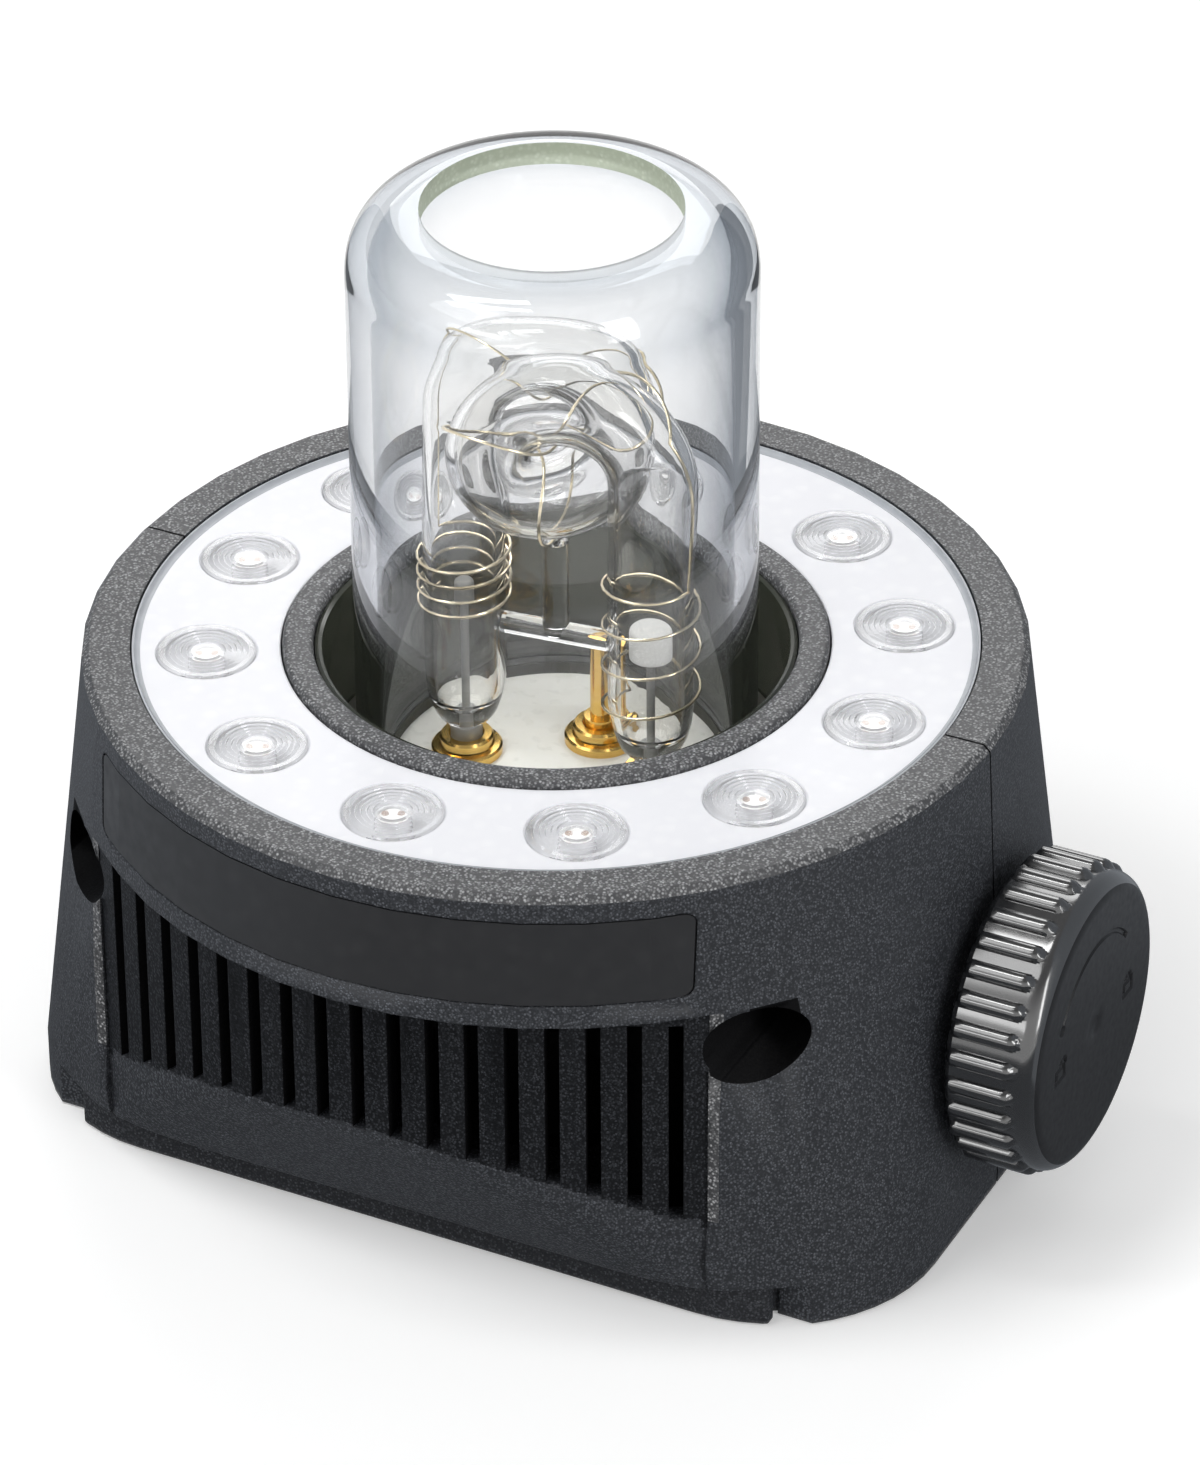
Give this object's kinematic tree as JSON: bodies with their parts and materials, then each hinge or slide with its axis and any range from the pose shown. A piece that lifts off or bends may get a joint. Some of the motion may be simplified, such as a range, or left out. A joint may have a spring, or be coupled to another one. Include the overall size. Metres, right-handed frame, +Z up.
{
  "type": "studio flash head",
  "caption": "Plug-in studio flash head: a coiled flash tube under an open glass dome, in a well ringed by lens-covered modelling lamps, with a grilled casing and a quarter-turn lock knob.",
  "frame": {"origin": "centre of the plug socket's mouth, on the underside of the base", "axes": "+Z up along the well and the glass dome, +X towards the lock knob, -Y towards the grille with the label place"},
  "size_m": [0.1278, 0.1128, 0.118],
  "materials": {
    "casing_plastic": "near-black moulded plastic with a fine spark grain",
    "base_plastic": "near-black moulded plastic",
    "label_film": "smooth satin dark film, bare",
    "inner_plastic": "plain dark moulded plastic",
    "board_white": "white solder mask",
    "lamp_die": "yellow phosphor",
    "cover_white": "semi-gloss white plastic",
    "lens_clear": "clear stepped lens",
    "liner_gloss": "glossy dark olive-grey",
    "ceramic_cream": "smooth cream ceramic",
    "gold_contact": "gold-plated",
    "seal_rubber": "soft dark silicone",
    "dome_glass": "clear polished glass with a ground pale green rim",
    "quartz": "clear quartz",
    "electrode_metal": "sintered metal",
    "trigger_wire_metal": "fine bright wire",
    "knob_plastic": "satin black with polished ribs",
    "steel": "plated steel",
    "bush_brass": "turned brass",
    "socket_aluminium": "turned aluminium",
    "board_green": "green solder mask",
    "winding_copper": "varnished copper winding"
  },
  "bodies": {
    "housing": {"front_shell": "casing_plastic", "rear_shell": "casing_plastic", "base_plate": "base_plastic", "label_plate": "label_film", "chassis": "inner_plastic", "led_board": "board_white", "led_chips": "lamp_die", "led_cover_ring": "cover_white", "led_lenses": "lens_clear", "well_collar": "casing_plastic", "well_liner": "liner_gloss", "tube_floor": "ceramic_cream", "tube_sockets": "gold_contact", "dome_seal": "seal_rubber", "shaft_bush": "bush_brass", "plug_socket": "socket_aluminium", "contact_block": "inner_plastic", "contact_sleeves": "gold_contact", "trigger_board": "board_green", "trigger_transformer": "winding_copper", "shell_screws": "steel", "base_screws": "steel"},
    "dome": {"glass_dome": "dome_glass"},
    "tube": {"flash_tube": "quartz", "electrodes": "electrode_metal", "tube_bridge": "quartz", "trigger_pin": "gold_contact", "trigger_wire": "trigger_wire_metal"},
    "lock": {"lock_knob": "knob_plastic", "lock_shaft": "steel", "lock_cam": "steel", "retaining_clip": "steel"}
  },
  "joints": [
    {"name": "lock_turn", "type": "hinge", "parent": "housing", "child": "lock", "pos_m": [0, 0, 0.0265], "axis": [1, 0, 0], "range_deg": [0, 90]},
    {"name": "dome_lift", "type": "slide", "parent": "housing", "child": "dome", "axis": [0, 0, 1], "range_m": [0, 0.08]},
    {"name": "tube_pull", "type": "slide", "parent": "housing", "child": "tube", "axis": [0, 0, 1], "range_m": [0, 0.009]}
  ]
}
